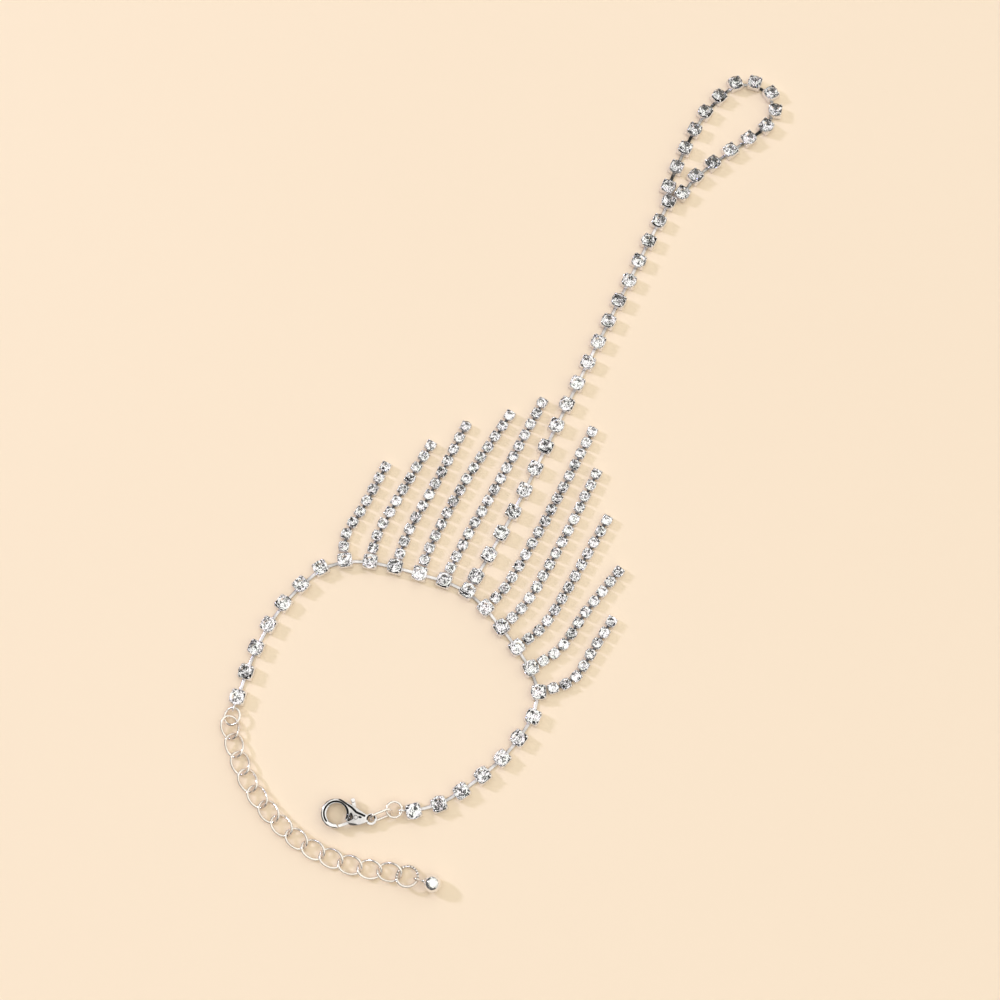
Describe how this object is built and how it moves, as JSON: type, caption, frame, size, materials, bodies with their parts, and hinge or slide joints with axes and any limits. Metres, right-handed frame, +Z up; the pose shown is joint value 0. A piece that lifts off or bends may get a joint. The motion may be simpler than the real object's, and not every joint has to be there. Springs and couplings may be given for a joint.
{
  "type": "hand chain bracelet",
  "caption": "Cup-chain wrist band with a fringe of fine strands, a strand to a finger loop, a lobster clasp and an extender chain, unclasped and lying flat.",
  "frame": {"origin": "middle of the whole piece's outline, on the surface that it lies on", "axes": "+Z up from the surface; +Y from the clasp and the extender towards the finger loop; +X to the right, the finger loop's side"},
  "size_m": [0.1144, 0.1714, 0.0033],
  "materials": {
    "metal": "polished silver plate",
    "stone": "clear cut crystal",
    "small_cup": "polished silver plate round small clear stones"
  },
  "bodies": {
    "bracelet": {"wrist_cups": "metal", "wrist_stones": "stone", "hand_cups": "metal", "hand_stones": "stone", "finger_cups": "metal", "finger_stones": "stone", "fringe_1": "small_cup", "fringe_2": "small_cup", "fringe_3": "small_cup", "fringe_4": "small_cup", "fringe_5": "small_cup", "fringe_6": "small_cup", "fringe_7": "small_cup", "fringe_8": "small_cup", "fringe_9": "small_cup", "fringe_10": "small_cup", "clasp_body": "metal", "clasp_pin": "metal", "clasp_link": "metal", "clasp_ring": "metal", "extender_ring": "metal", "extender_link_1": "metal", "extender_link_2": "metal", "extender_link_3": "metal", "extender_link_4": "metal", "extender_link_5": "metal", "extender_link_6": "metal", "extender_link_7": "metal", "extender_link_8": "metal", "extender_link_9": "metal", "extender_link_10": "metal", "extender_link_11": "metal", "extender_link_12": "metal", "extender_link_13": "metal", "end_ring": "metal", "end_ball": "metal"},
    "lever": {"clasp_lever": "metal"}
  },
  "joints": [
    {"name": "lever_hinge", "type": "hinge", "parent": "bracelet", "child": "lever", "pos_m": [-0.03073, -0.072, 0.00115], "axis": [0, 0, -1], "range_deg": [0, 22], "stiffness_Nm_per_rad": 0.002}
  ]
}
